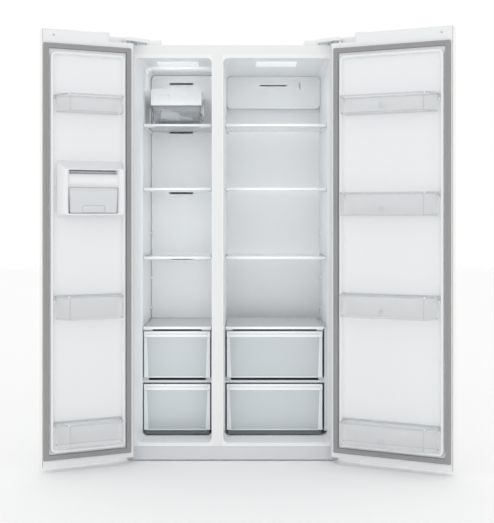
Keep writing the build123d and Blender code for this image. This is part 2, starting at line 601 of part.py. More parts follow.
def door_body(side, width, y, z, inset):
    """A door's outer form, shrunk by inset, with its two upright front edges rounded."""
    with BuildPart() as body:
        block(door_x(side, inset, width - inset), y, z)
        fillet(body.edges().filter_by(Axis.Z).group_by(Axis.Y)[0], DOOR_EDGE_R - inset)
    return body.part


def door_skin(side, width):
    """The steel outer skin: front and both long edges, open at the top, bottom and inside."""
    inner_y = (DOOR_FACE_Y[0] + SHEET, DOOR_FACE_Y[1] + 1)
    whole = door_body(side, width, DOOR_FACE_Y, (DOOR_Z[0] + 4, DOOR_Z[1] - 4), 0)
    hollow = door_body(side, width, inner_y, (0, DOOR_Z[1] + 20), SHEET)
    with BuildPart() as skin:
        add(whole)
        add(hollow, mode=Mode.SUBTRACT)
        notches(side)
    return skin.part


def door_caps(side, width):
    """Moulded end caps: the top one carries the hinge notch and its bush, the bottom one the lower bush."""
    y = (DOOR_FACE_Y[0] + 0.2, DOOR_FACE_Y[1])
    pin_x = side * (HALF_W - PIN_IN)
    with BuildPart() as caps:
        block(door_x(side, NOTCH_L, width), DOOR_FACE_Y, (DOOR_Z[1] - 4, DOOR_Z[1]))
        block(door_x(side, NOTCH_L, NOTCH_L + 44), DOOR_FACE_Y, (DOOR_Z[1] - 1, DOOR_Z[1] + 3))
        block(door_x(side, NOTCH_L, NOTCH_L + 3), (y[0] + 9, y[1] - 4), (NOTCH_Z - 5, DOOR_Z[1] - 1))
        block(door_x(side, 1.2, NOTCH_L + 3), (y[0] + 9, y[1] - 4), (NOTCH_Z - 5, NOTCH_Z))
        block(door_x(side, 38, NOTCH_L + 3), (y[0] + 0.9, y[0] + 9), (NOTCH_Z - 5, NOTCH_Z + 16))
        rod(11, (pin_x, PIN_Y, NOTCH_Z - 26), 24, "Z")
        rod(PIN_R + BUSH_CLEARANCE, (pin_x, PIN_Y, NOTCH_Z - 22), 30, "Z", Mode.SUBTRACT)
        block(door_x(side, FOOT_NOTCH_L, width), DOOR_FACE_Y, (DOOR_Z[0], DOOR_Z[0] + 4))
        block(door_x(side, FOOT_NOTCH_L, FOOT_NOTCH_L + 3), (y[0] + 2, y[1] - 4),
              (DOOR_Z[0], FOOT_NOTCH_Z + 4))
        block(door_x(side, 1.2, FOOT_NOTCH_L + 3), (y[0] + 9, y[1] - 4), (FOOT_NOTCH_Z, FOOT_NOTCH_Z + 4))
        rod(11, (pin_x, PIN_Y, FOOT_NOTCH_Z), 24, "Z")
        rod(PIN_R + BUSH_CLEARANCE, (pin_x, PIN_Y, FOOT_NOTCH_Z - 2), 22, "Z", Mode.SUBTRACT)
    return caps.part


def gasket_span(side, width):
    """Distances of the gasket's outer edges from the door's hinge edge."""
    return (GASKET_HINGE, width - GASKET_FREE[side])


def ridge_ring(side, width, inset, y, mode=Mode.ADD):
    """The liner's raised ridge as an upright ring, thinned by inset on both faces."""
    span = gasket_span(side, width)
    outer = door_x(side, span[0] + RIDGE_IN + inset, span[1] - RIDGE_IN - inset)
    reach = RIDGE_IN + RIDGE_W - inset
    inner = door_x(side, span[0] + reach, span[1] - reach)
    outer_z = widen(RIDGE_Z, -inset)
    inner_z = widen(RIDGE_Z, inset - RIDGE_W)
    with BuildSketch(upright(y[0])) as ring:
        with Locations((sum(outer) / 2, sum(outer_z) / 2)):
            RectangleRounded(abs(outer[1] - outer[0]), outer_z[1] - outer_z[0], 22)
            RectangleRounded(abs(inner[1] - inner[0]), inner_z[1] - inner_z[0], 18, mode=Mode.SUBTRACT)
    extrude(ring.sketch, amount=-(y[1] - y[0]), mode=mode)


def basket_span(side, width):
    """Distances of a basket's ends from the door's hinge edge."""
    span = gasket_span(side, width)
    reach = RIDGE_IN + RIDGE_W + 5
    return (span[0] + reach, span[1] - reach)


def door_liner(side, width, baskets):
    """The formed inner panel: a sheet with a hollow ridge inside the gasket and bosses for the baskets."""
    inner = DOOR_FACE_Y[1]
    ends = basket_span(side, width)
    with BuildPart() as panel:
        block(door_x(side, 2, width - 2), (inner - LINER, inner), (DOOR_Z[0] + 4.2, DOOR_Z[1] - 4.2))
        ridge_ring(side, width, 0, (inner - 0.5, inner + RIDGE_H))
        ridge_ring(side, width, LINER, (inner - LINER - 1, inner + RIDGE_H - LINER), Mode.SUBTRACT)
        for low, high in baskets:
            for distance in (ends[0] - 5.5, ends[1] - 0.5):
                block(door_x(side, distance, distance + 6), (inner - 0.5, inner + RIDGE_H - 1),
                      (high - 30, high - 18))
        notches(side, 4)
    return panel.part


def door_foam(side, width):
    """The insulation between the skin and the liner."""
    y = (DOOR_FACE_Y[0] + SHEET + 0.5, DOOR_FACE_Y[1] - LINER - 0.5)
    with BuildPart() as filling:
        block(door_x(side, SHEET + 0.5, width - SHEET - 0.5), y, (DOOR_Z[0] + 40, NOTCH_Z - 30))
        block(door_x(side, NOTCH_L + 5, width - SHEET - 0.5), y, (NOTCH_Z - 30, DOOR_Z[1] - 6))
        fillet(filling.edges().filter_by(Axis.Z).group_by(Axis.Y)[0], 7)
    return filling.part


def door_gasket(side, width):
    """The magnetic seal: a frame with a wide foot and a narrower bellows."""
    span = gasket_span(side, width)
    with BuildPart() as seal:
        for inset, y in ((0, (DOOR_FACE_Y[1], -6.5)), (1.5, (-7, GASKET_FRONT))):
            outer = door_x(side, span[0] + inset, span[1] - inset)
            inner = door_x(side, span[0] + GASKET_W - inset, span[1] - GASKET_W + inset)
            height = GASKET_Z[1] - GASKET_Z[0] - 2 * inset
            hole_height = GASKET_Z[1] - GASKET_Z[0] - 2 * GASKET_W + 2 * inset
            with BuildSketch(upright(y[0])) as ring:
                with Locations((sum(outer) / 2, sum(GASKET_Z) / 2)):
                    RectangleRounded(abs(outer[1] - outer[0]), height, 5)
                    RectangleRounded(abs(inner[1] - inner[0]), hole_height, 3, mode=Mode.SUBTRACT)
            extrude(ring.sketch, amount=-(y[1] - y[0]))
    return seal.part


def door_basket(side, width, z):
    """A clear door basket with a rolled rim, a slanted free end and a lug over each boss."""
    inner = DOOR_FACE_Y[1] + 0.5
    ends = basket_span(side, width)
    front = inner + BASKET_DEPTH

    def outline(wall):
        corners = ((ends[0] + wall, inner + wall), (ends[1] - wall, inner + wall),
                   (ends[1] - wall, inner + 34), (ends[1] - BASKET_SLANT - wall * 0.6, front - wall),
                   (ends[0] + 6 + wall, front - wall), (ends[0] + wall, inner + 40))
        return [(door_x(side, u)[0], y) for u, y in corners]

    with BuildPart() as tub:
        with BuildSketch(Plane.XY.offset(z[0])):
            Polygon(*outline(1.5), align=None)
        extrude(amount=z[1] - z[0])
        with BuildSketch(Plane.XY.offset(z[1] - 7)):
            Polygon(*outline(0), align=None)
        extrude(amount=7)
        with BuildSketch(Plane.XY.offset(z[0] + BASKET_WALL)):
            Polygon(*outline(1.5 + BASKET_WALL), align=None)
        extrude(amount=z[1] - z[0], mode=Mode.SUBTRACT)
        for distance in (ends[0] - 4.5, ends[1] - 1.5):
            block(door_x(side, distance, distance + 6), (inner + 1.5, inner + 14), (z[1] - 17.9, z[1] - 3))
    return tub.part


def keep_door(name, side, width, swing, baskets):
    """Save the parts that every door has."""
    keep(door_skin(side, width), f"{name}_skin", swing)
    keep(door_foam(side, width), f"{name}_foam", swing)
    keep(door_liner(side, width, baskets), f"{name}_liner", swing)
    keep(door_gasket(side, width), f"{name}_gasket", swing)
    keep(door_caps(side, width), f"{name}_caps", swing)
    for number, span in enumerate(baskets, 1):
        keep(door_basket(side, width, span), f"{name}_basket_{number}", swing)


LEFT_AXIS = Axis((-HALF_W + PIN_IN, PIN_Y, 0), (0, 0, 1))
RIGHT_AXIS = Axis((HALF_W - PIN_IN, PIN_Y, 0), (0, 0, 1))
left_swing = (LEFT_AXIS, -LEFT_OPEN)
right_swing = (RIGHT_AXIS, RIGHT_OPEN)
keep_door("left_door", -1, LEFT_DOOR_W, left_swing, LEFT_BASKETS)
keep_door("right_door", 1, RIGHT_DOOR_W, right_swing, RIGHT_BASKETS)

# ---------------------------------------------------------------- dispenser housing on the freezer door
HOUSING_Y = (DOOR_FACE_Y[1] + 0.3, DOOR_FACE_Y[1] + HOUSING_DEPTH)
with BuildPart() as door_housing:
    with BuildSketch(upright(HOUSING_Y[0])):
        with Locations((sum(door_x(-1, *HOUSING_U)) / 2, sum(HOUSING_Z) / 2)):
            RectangleRounded(HOUSING_U[1] - HOUSING_U[0], HOUSING_Z[1] - HOUSING_Z[0], 12)
    with BuildSketch(upright(HOUSING_Y[1])):
        with Locations((sum(door_x(-1, *HOUSING_FACE_U)) / 2, (HOUSING_Z[0] + 3 + HOUSING_FACE_Z) / 2)):
            RectangleRounded(HOUSING_FACE_U[1] - HOUSING_FACE_U[0], HOUSING_FACE_Z - HOUSING_Z[0] - 3, 9)
    loft()
    block(door_x(-1, *widen(DOOR_DRAWER_U, 1)), (HOUSING_Y[0] + 6, HOUSING_Y[1] + 5),
          widen(DOOR_DRAWER_Z, 1), Mode.SUBTRACT)
    block(door_x(-1, *widen(TRAY_U, 1)), (HOUSING_Y[0] + 12, HOUSING_Y[1] + 5),
          widen(TRAY_Z, 1), Mode.SUBTRACT)
keep(door_housing.part, "door_housing", left_swing)

with BuildPart() as door_drawer:
    drawer_x = door_x(-1, *DOOR_DRAWER_U)
    drawer_y = (HOUSING_Y[0] + 8, HOUSING_Y[1] + 1.5)
    block(drawer_x, drawer_y, DOOR_DRAWER_Z)
    fillet(door_drawer.edges().filter_by(Axis.Y).group_by(Axis.Z)[0], 7)
    block(widen(drawer_x, -2), widen(drawer_y, -2), (DOOR_DRAWER_Z[0] + 2, DOOR_DRAWER_Z[1] + 1),
          Mode.SUBTRACT)
    with BuildSketch(upright(drawer_y[1] - 1)) as grip:
        with Locations((sum(drawer_x) / 2, DOOR_DRAWER_Z[0] + 16)):
            RectangleRounded(94, 30, 7)
    extrude(grip.sketch, amount=-3)
keep(door_drawer.part, "door_drawer", left_swing)

# ---------------------------------------------------------------- placing and saving
# The origin is the middle of the footprint of the whole object with its doors open, on the floor.
placed = []
for part, swing in pieces:
    stood = part.rotate(swing[0], swing[1]) if swing else part
    stood.label = part.label
    placed.append(stood)
low_x = min(piece.bounding_box().min.X for piece in placed)
high_x = max(piece.bounding_box().max.X for piece in placed)
low_y = min(piece.bounding_box().min.Y for piece in placed)
high_y = max(piece.bounding_box().max.Y for piece in placed)
shift = Location((-(low_x + high_x) / 2, -(low_y + high_y) / 2, 0))
print("shift of the cabinet coordinates, mm:", shift.position)

os.makedirs("parts", exist_ok=True)
for piece in placed:
    moved = piece.moved(shift)
    moved.label = piece.label
    export_step(moved, f"parts/{piece.label}.step")
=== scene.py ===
import math
import bmesh
import bpy
from mathutils import Matrix, Vector, geometry
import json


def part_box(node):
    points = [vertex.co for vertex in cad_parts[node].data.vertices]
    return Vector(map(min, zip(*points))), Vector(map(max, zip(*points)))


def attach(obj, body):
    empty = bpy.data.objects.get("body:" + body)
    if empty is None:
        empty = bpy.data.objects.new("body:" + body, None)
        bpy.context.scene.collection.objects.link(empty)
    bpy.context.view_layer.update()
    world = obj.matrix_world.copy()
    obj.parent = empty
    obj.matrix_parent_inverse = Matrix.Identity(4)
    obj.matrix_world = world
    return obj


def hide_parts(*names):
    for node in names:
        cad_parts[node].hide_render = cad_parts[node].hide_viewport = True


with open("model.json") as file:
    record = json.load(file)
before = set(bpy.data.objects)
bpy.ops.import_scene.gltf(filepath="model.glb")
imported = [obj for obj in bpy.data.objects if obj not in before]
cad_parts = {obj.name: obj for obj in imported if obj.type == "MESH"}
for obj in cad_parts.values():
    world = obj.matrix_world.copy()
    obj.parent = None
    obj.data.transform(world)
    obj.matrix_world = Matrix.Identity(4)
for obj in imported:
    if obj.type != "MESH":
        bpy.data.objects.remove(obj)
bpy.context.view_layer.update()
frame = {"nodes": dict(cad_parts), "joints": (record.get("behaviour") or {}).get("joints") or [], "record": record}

# ------------------------------------------------------------------ places and sizes
# Pieces are modelled in millimetres in the cabinet's own coordinates: X from the cabinet's middle,
# Y from its front plane to the back, Z from the floor. The doors are modelled shut, then swung.
MM = 0.001
wrap_low, wrap_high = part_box("outer_wrap")
CABINET_ORIGIN = Vector(((wrap_low.x + wrap_high.x) / 2, wrap_low.y, 0))
HALF_W = (wrap_high.x - wrap_low.x) / 2 / MM
CAB_H = wrap_high.z / MM
JOINTS = {joint["name"]: joint for joint in frame["joints"]}

DOOR_INNER_Y = -12.0
DOOR_Z = (21.0, 1792.0)
DOOR_W = {-1: 381.5, 1: 509.5}
DOOR_NAME = {-1: "left_door", 1: "right_door"}
GASKET_Z = (51.5, 1735.0)
GASKET_HINGE = 13.5
GASKET_FREE = {-1: 4.0, 1: 9.0}
RIDGE_IN = 26.0
RIDGE_Z = (79.0, 1703.0)
RIDGE_W = 15.0
RIDGE_H = 16.0
BASKET_END = 46.0
BASKET_FRONT = DOOR_INNER_Y + 86.5
PIN_X = 433.5
PIN_Y = -38.0
COVER_X = (304, 446)
COVER_Y = (4, 66)
VISOR_X = (352, 445.4)
VISOR_Y = (4.5, 61)
VISOR_R = 23
HANDLE_H = 26.0
BASKET_Z = {-1: ((1456.0, 1527.0), (621.5, 716.0), (111.5, 205.5)),
            1: ((1453.5, 1527.0), (1039.0, 1132.5), (626.5, 718.5), (106.5, 200.5))}


def to_frame(shut_side=None):
    """The matrix from cabinet millimetres to the frame, through the swing of a door if a side is given."""
    base = Matrix.Translation(CABINET_ORIGIN) @ Matrix.Scale(MM, 4)
    if shut_side is None:
        return base
    joint = JOINTS[DOOR_NAME[shut_side] + "_hinge"]
    pin = Vector(joint["pos_m"])
    angle = -math.radians(joint["range_deg"][0]) * joint["axis"][2]
    turn = Matrix.Rotation(angle, 4, Vector((0, 0, 1)))
    return Matrix.Translation(pin) @ turn @ Matrix.Translation(-pin) @ base


def span(node):
    """A node's box in cabinet millimetres, as (x0, x1), (y0, y1), (z0, z1)."""
    low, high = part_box(node)
    low, high = (low - CABINET_ORIGIN) / MM, (high - CABINET_ORIGIN) / MM
    return (low.x, high.x), (low.y, high.y), (low.z, high.z)


# ------------------------------------------------------------------ materials
materials = {}


def shader(name, colour, roughness, **sockets):
    """A new material with its constant values on the Principled sockets."""
    material = bpy.data.materials.new(name)
    material.use_nodes = True
    principled = material.node_tree.nodes["Principled BSDF"]
    principled.inputs["Base Color"].default_value = (*colour, 1)
    principled.inputs["Roughness"].default_value = roughness
    for socket, value in sockets.items():
        principled.inputs[socket.replace("_", " ")].default_value = value
    materials[name] = material
    return material


def vary(material, colour_a, colour_b, colour_scale, rough, rough_scale, bump_scale, bump_height):
    """Object-space noise for the colour, roughness and surface of a material."""
    tree = material.node_tree
    nodes, links = tree.nodes, tree.links
    principled = nodes["Principled BSDF"]
    place = nodes.new("ShaderNodeTexCoord")
    mapping = nodes.new("ShaderNodeMapping")
    links.new(place.outputs["Object"], mapping.inputs["Vector"])

    def noise(scale, detail):
        texture = nodes.new("ShaderNodeTexNoise")
        texture.inputs["Scale"].default_value = scale
        texture.inputs["Detail"].default_value = detail
        links.new(mapping.outputs["Vector"], texture.inputs["Vector"])
        return texture.outputs["Fac"]

    tint = nodes.new("ShaderNodeMix")
    tint.data_type = "RGBA"
    tint.inputs["A"].default_value = (*colour_a, 1)
    tint.inputs["B"].default_value = (*colour_b, 1)
    links.new(noise(colour_scale, 3), tint.inputs["Factor"])
    links.new(tint.outputs["Result"], principled.inputs["Base Color"])

    shine = nodes.new("ShaderNodeMapRange")
    shine.inputs["To Min"].default_value = rough[0]
    shine.inputs["To Max"].default_value = rough[1]
    links.new(noise(rough_scale, 4), shine.inputs["Value"])
    links.new(shine.outputs["Result"], principled.inputs["Roughness"])

    bump = nodes.new("ShaderNodeBump")
    bump.inputs["Strength"].default_value = 1.0
    bump.inputs["Distance"].default_value = bump_height
    links.new(noise(bump_scale, 2), bump.inputs["Height"])
    links.new(bump.outputs["Normal"], principled.inputs["Normal"])
    return material


def shade(colour, factor):
    return tuple(channel * factor for channel in colour)


def make_materials():
    """Every finish of the object. Colours are linear."""
    white = (0.86, 0.87, 0.87)
    vary(shader("white_paint", white, 0.3, Coat_Weight=0.35, Coat_Roughness=0.12),
         white, shade(white, 0.985), 2.0, (0.26, 0.36), 14, 420, 0.00004)
    liner = (0.905, 0.92, 0.93)
    vary(shader("liner_plastic", liner, 0.4), liner, shade(liner, 0.975), 3.0, (0.34, 0.48), 18, 900, 0.00002)
    door_liner = (0.855, 0.872, 0.88)
    vary(shader("door_liner_plastic", door_liner, 0.4), door_liner, shade(door_liner, 0.98), 3.0,
         (0.34, 0.48), 18, 900, 0.00002)
    plinth = (0.70, 0.725, 0.745)
    vary(shader("plinth_plastic", plinth, 0.35), plinth, shade(plinth, 0.98), 6.0, (0.3, 0.42), 30, 260,
         0.00003)
    # A darker copy of the white plastic for the housing's upward-facing slope: painted shade, as that slope lies
    # in shadow.
    slope = (0.74, 0.765, 0.785)
    vary(shader("slope_painted_shade", slope, 0.3), slope, shade(slope, 0.985), 6.0, (0.26, 0.36), 30, 260, 0.00003)
    plastic = (0.86, 0.875, 0.885)
    vary(shader("white_plastic", plastic, 0.22, Coat_Weight=0.2), plastic, shade(plastic, 0.98), 6.0,
         (0.18, 0.28), 30, 260, 0.00003)
    handle = (0.79, 0.805, 0.815)
    vary(shader("handle_plastic", handle, 0.28), handle, shade(handle, 0.985), 6.0, (0.24, 0.34), 30, 260,
         0.00003)
    grey = (0.42, 0.44, 0.45)
    vary(shader("grey_plastic", grey, 0.4), grey, shade(grey, 0.93), 8.0, (0.35, 0.5), 30, 700, 0.00003)
    mid = (0.60, 0.63, 0.65)
    vary(shader("light_grey_plastic", mid, 0.35), mid, shade(mid, 0.96), 8.0, (0.3, 0.42), 30, 700, 0.00002)
    clear = (0.93, 0.95, 0.96)
    vary(shader("clear_plastic", clear, 0.08, Alpha=0.16, IOR=1.49), clear, shade(clear, 0.97), 5.0,
         (0.05, 0.12), 12, 60, 0.00004)
    frosted = (0.80, 0.825, 0.84)
    vary(shader("frosted_plastic", frosted, 0.16, Alpha=0.86, IOR=1.49), frosted, shade(frosted, 0.97), 5.0,
         (0.12, 0.22), 12, 60, 0.00004)
    vary(shader("clear_edge", (0.64, 0.67, 0.69), 0.1, Alpha=0.62, IOR=1.49), (0.64, 0.67, 0.69),
         (0.70, 0.73, 0.75), 9.0, (0.06, 0.14), 12, 60, 0.00003)
    vary(shader("drawer_plastic", (0.62, 0.66, 0.69), 0.12, Alpha=0.72, IOR=1.49), (0.60, 0.645, 0.675),
         (0.64, 0.68, 0.705), 3.0, (0.1, 0.18), 12, 60, 0.00003)
    vary(shader("smoked_plastic", (0.46, 0.50, 0.53), 0.12, Alpha=0.28, IOR=1.49), (0.44, 0.48, 0.51),
         (0.44, 0.48, 0.51), 6.0, (0.08, 0.16), 12, 80, 0.00003)
    vary(shader("shelf_glass", (0.83, 0.88, 0.88), 0.03, Alpha=0.42, IOR=1.52), (0.83, 0.88, 0.88),
         (0.81, 0.86, 0.865), 4.0, (0.02, 0.05), 6, 20, 0.00001)
    vary(shader("cover_glass", (0.92, 0.95, 0.96), 0.04, Alpha=0.72, IOR=1.52), (0.92, 0.95, 0.96),
         (0.90, 0.93, 0.94), 4.0, (0.03, 0.06), 6, 20, 0.00001)
    vary(shader("glass_edge", (0.30, 0.42, 0.41), 0.08, Alpha=0.8), (0.30, 0.42, 0.41), (0.36, 0.47, 0.46),
         20.0, (0.05, 0.1), 20, 90, 0.00002)
    rubber = (0.335, 0.335, 0.335)
    vary(shader("gasket_rubber", rubber, 0.6), rubber, shade(rubber, 0.92), 12.0, (0.5, 0.68), 60, 1200,
         0.00004)
    vary(shader("light_diffuser", (0.92, 0.94, 0.95), 0.5, Emission_Color=(0.93, 0.97, 1, 1),
                Emission_Strength=0.42), (0.62, 0.64, 0.65), (0.60, 0.62, 0.63), 10, (0.45, 0.55), 30, 500,
         0.00003)
    zinc = (0.58, 0.59, 0.60)
    vary(shader("galvanised", zinc, 0.4, Metallic=0.85), zinc, shade(zinc, 0.8), 55, (0.3, 0.5), 40, 300,
         0.00004)
    black = (0.035, 0.035, 0.038)
    vary(shader("black_paint", black, 0.4), black, (0.05, 0.05, 0.053), 14, (0.32, 0.5), 40, 600, 0.00005)
    vary(shader("black_plastic", black, 0.5), black, (0.05, 0.05, 0.053), 14, (0.42, 0.6), 40, 900, 0.00005)
    coil = (0.66, 0.67, 0.68)
    vary(shader("coil_metal", coil, 0.35, Metallic=0.9), coil, shade(coil, 0.85), 30, (0.28, 0.45), 40, 300,
         0.00003)
    vary(shader("foam", (0.80, 0.68, 0.38), 0.9), (0.80, 0.68, 0.38), (0.72, 0.58, 0.30), 60,
         (0.85, 0.95), 60, 500, 0.0004)
    vary(shader("drawer_band", (0.70, 0.735, 0.755), 0.2), (0.70, 0.735, 0.755), (0.68, 0.715, 0.735), 4.0,
         (0.16, 0.26), 12, 60, 0.00003)
    vary(shader("smoked_edge", (0.16, 0.19, 0.21), 0.15, Alpha=0.85), (0.16, 0.19, 0.21), (0.2, 0.23, 0.25),
         6.0, (0.1, 0.2), 12, 80, 0.00003)
    # A dark finish for the strip under the lower drawers: painted shade for the deep gap beneath them.
    vary(shader("painted_shade_gap", (0.12, 0.14, 0.15), 0.6), (0.12, 0.14, 0.15), (0.15, 0.17, 0.18), 14,
         (0.5, 0.7), 40, 600, 0.00003)


OWN_FINISH = {"plinth": "plinth_plastic", "drawer_rails": "light_grey_plastic"}


def finish_cad_nodes():
    """The CAD nodes that stay get the finish of their own slot."""
    slot_of = {entry["node"]: entry["material_slot"] for entry in frame["record"]["subparts"]}
    for name, node in frame["nodes"].items():
        node.data.materials.clear()
        finish = OWN_FINISH.get(name, slot_of[name])
        node.data.materials.append(materials[finish])


# ------------------------------------------------------------------ mesh building
class Builder:
    """Collects closed forms into one mesh, each with one of the piece's finishes."""

    def __init__(self, *finishes):
        self.finishes = finishes
        self.points = []
        self.faces = []
        self.face_finish = []
        self.current = 0

    def use(self, finish):
        self.current = self.finishes.index(finish)

    def loops(self, loops, closed=False):
        """Skins closed loops of equal length, one after the other."""
        count = len(loops[0])
        start = len(self.points)
        for loop in loops:
            self.points.extend(loop)
        pairs = [(k, k + 1) for k in range(len(loops) - 1)]
        if closed:
            pairs.append((len(loops) - 1, 0))
        for a, b in pairs:
            for i in range(count):
                j = (i + 1) % count
                self.add((start + a * count + i, start + a * count + j, start + b * count + j,
                          start + b * count + i))
        if not closed:
            self.add(tuple(start + i for i in range(count - 1, -1, -1)))
            last = start + (len(loops) - 1) * count
            self.add(tuple(last + i for i in range(count)))

    def add(self, face):
        self.faces.append(face)
        self.face_finish.append(self.current)

    def soft_box(self, x, y, z, r=1.0):
        """A box whose edges are all rounded with radius r."""
        x, y, z = sorted(x), sorted(y), sorted(z)
        r = min(r, (x[1] - x[0]) / 2.01, (y[1] - y[0]) / 2.01, (z[1] - z[0]) / 2.01)
        rings = []
        steps = ((r, 0), (r * 0.3, r * 0.3), (0, r))
        for inset, rise in steps:
            rings.append((inset, z[0] + rise))
        for inset, rise in reversed(steps):
            rings.append((inset, z[1] - rise))
        self.loops([[(px, py, level) for px, py in rounded(x, y, r, 3, inset)] for inset, level in rings])

    def make(self, name, body, side=None, replaces=(), smooth=38.0):
        """Makes the object, places it in the frame and lets it ride on a body."""
        mesh = bpy.data.meshes.new(name)
        mesh.from_pydata([tuple(point) for point in self.points], [], self.faces)
        for finish in self.finishes:
            mesh.materials.append(materials[finish])
        mesh.polygons.foreach_set("material_index", self.face_finish)
        mesh.transform(to_frame(side))
        work = bmesh.new()
        work.from_mesh(mesh)
        bmesh.ops.remove_doubles(work, verts=work.verts, dist=1e-6)
        bmesh.ops.recalc_face_normals(work, faces=work.faces)
        limit = math.radians(smooth)
        for face in work.faces:
            face.smooth = True
        for edge in work.edges:
            edge.smooth = len(edge.link_faces) == 2 and edge.calc_face_angle(0) < limit
        work.to_mesh(mesh)
        work.free()
        piece = bpy.data.objects.new(name, mesh)
        bpy.context.scene.collection.objects.link(piece)
        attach(piece, body)
        if replaces:
            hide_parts(*replaces)
        return piece


def rounded(x, y, r, steps=5, inset=0.0):
    """A rounded rectangle, moved inward by inset, anticlockwise from its lower right corner."""
    x = (min(x) + inset, max(x) - inset)
    y = (min(y) + inset, max(y) - inset)
    r = max(r - inset, 0.05)
    corners = ((x[1] - r, y[0] + r, -90), (x[1] - r, y[1] - r, 0), (x[0] + r, y[1] - r, 90),
               (x[0] + r, y[0] + r, 180))
    points = []
    for cx, cy, start in corners:
        for k in range(steps + 1):
            angle = math.radians(start + 90 * k / steps)
            points.append((cx + r * math.cos(angle), cy + r * math.sin(angle)))
    return points


def upright(outline, y):
    """A flat outline stood up in the X-Z plane at depth y."""
    return [(px, y, pz) for px, pz in outline]


def level(outline, z):
    """A flat outline laid at height z."""
    return [(px, py, z) for px, py in outline]


def door_x(side, distance):
    return side * (HALF_W - distance)


def door_span(side, near, far):
    return tuple(sorted((door_x(side, near), door_x(side, far))))


def inset_polygon(points, amount):
    """A convex anticlockwise polygon with every side moved inward."""
    count = len(points)
    lines = []
    for i in range(count):
        (ax, ay), (bx, by) = points[i], points[(i + 1) % count]
        length = math.hypot(bx - ax, by - ay)
        nx, ny = -(by - ay) / length, (bx - ax) / length
        lines.append(((ax + nx * amount, ay + ny * amount), (bx - ax, by - ay)))
    moved = []
    for i in range(count):
        (px, py), (dx, dy) = lines[i - 1]
        (qx, qy), (ex, ey) = lines[i]
        t = ((qx - px) * ey - (qy - py) * ex) / (dx * ey - dy * ex)
        moved.append((px + dx * t, py + dy * t))
    return moved


def round_polygon(points, radius, steps=4):
    """A convex polygon with its corners cut by short curves of one size."""
    count = len(points)
    curve = []
    for i in range(count):
        before, corner, after = Vector(points[i - 1]), Vector(points[i]), Vector(points[(i + 1) % count])
        reach = min(radius, (before - corner).length * 0.45, (after - corner).length * 0.45)
        start = corner + (before - corner).normalized() * reach
        end = corner + (after - corner).normalized() * reach
        for k in range(steps + 1):
            t = k / steps
            curve.append(tuple(start * (1 - t) ** 2 + corner * 2 * t * (1 - t) + end * t ** 2))
    return curve


def prism_x(builder, profile, x):
    """Extrudes a (y, z) profile along X, with slightly shrunk ends so that its edges catch the light."""
    cy = sum(p[0] for p in profile) / len(profile)
    cz = sum(p[1] for p in profile) / len(profile)
    rings = []
    for at, factor in ((x[0], 0.94), (x[0] + 0.6, 1), (x[1] - 0.6, 1), (x[1], 0.94)):
        rings.append([(at, cy + (py - cy) * factor, cz + (pz - cz) * factor) for py, pz in profile])
    builder.loops(rings)


def plate(builder, outline, y, edge=0.5):
    """An upright plate from an (x, z) outline, between two depths, with a small step round each face."""
    inner = inset_polygon(outline, edge)
    builder.loops([upright(inner, y[0]), upright(outline, y[0] + edge), upright(outline, y[1] - edge),
                   upright(inner, y[1])])


def ring_bead(builder, x, z, r, y, width=1.2, height=1.0):
    """A thin raised line round a rounded rectangle, standing out of a face at depth y towards the front."""
    rings = []
    for inset, out in ((0, 0), (0.2 * width, height), (0.8 * width, height), (width, 0)):
        rings.append(upright(rounded(x, z, r, 5, inset), y - out))
    builder.loops(rings, closed=True)


# ------------------------------------------------------------------ camera, light and floor
# Each soft light: name, place, aim, size, power and spread, in metres from the cabinet's front middle.
LAMPS = (
    ("key", (-2.6, -3.6, 3.4), (0, 0, 0.9), (2.6, 2.6), 4, 180),
    ("fill", (3.0, -3.2, 2.2), (0, 0, 0.9), (2.6, 2.6), 3, 180),
    ("freezer_glow", (-0.244, 0.05, 0.79), (-0.244, 1, 0.79), (0.27, 1.30), 0.36, 180),
    ("fridge_glow", (0.187, 0.05, 0.89), (0.187, 1, 0.89), (0.40, 1.55), 0.52, 180),
    ("freezer_depth", (-0.244, 0.22, 1.00), (-0.244, 1, 1.00), (0.27, 0.82), 0.26, 180),
    ("fridge_depth", (0.187, 0.22, 1.13), (0.187, 1, 1.13), (0.40, 1.06), 0.40, 180),
    ("freezer_led", (-0.242, 0.20, 1.665), (-0.242, 0.46, 1.60), (0.24, 0.04), 0.14, 170),
    ("ice_glow", (-0.244, 0.11, 1.490), (-0.244, 1, 1.490), (0.30, 0.05), 0.040, 180),
    ("bucket_glow", (-0.244, 0.455, 1.500), (-0.244, 0, 1.500), (0.32, 0.09), 0.040, 180),
    ("fridge_led", (0.187, 0.122, 1.692), (0.187, 0.30, 1.2), (0.17, 0.09), 0.08, 170),
)


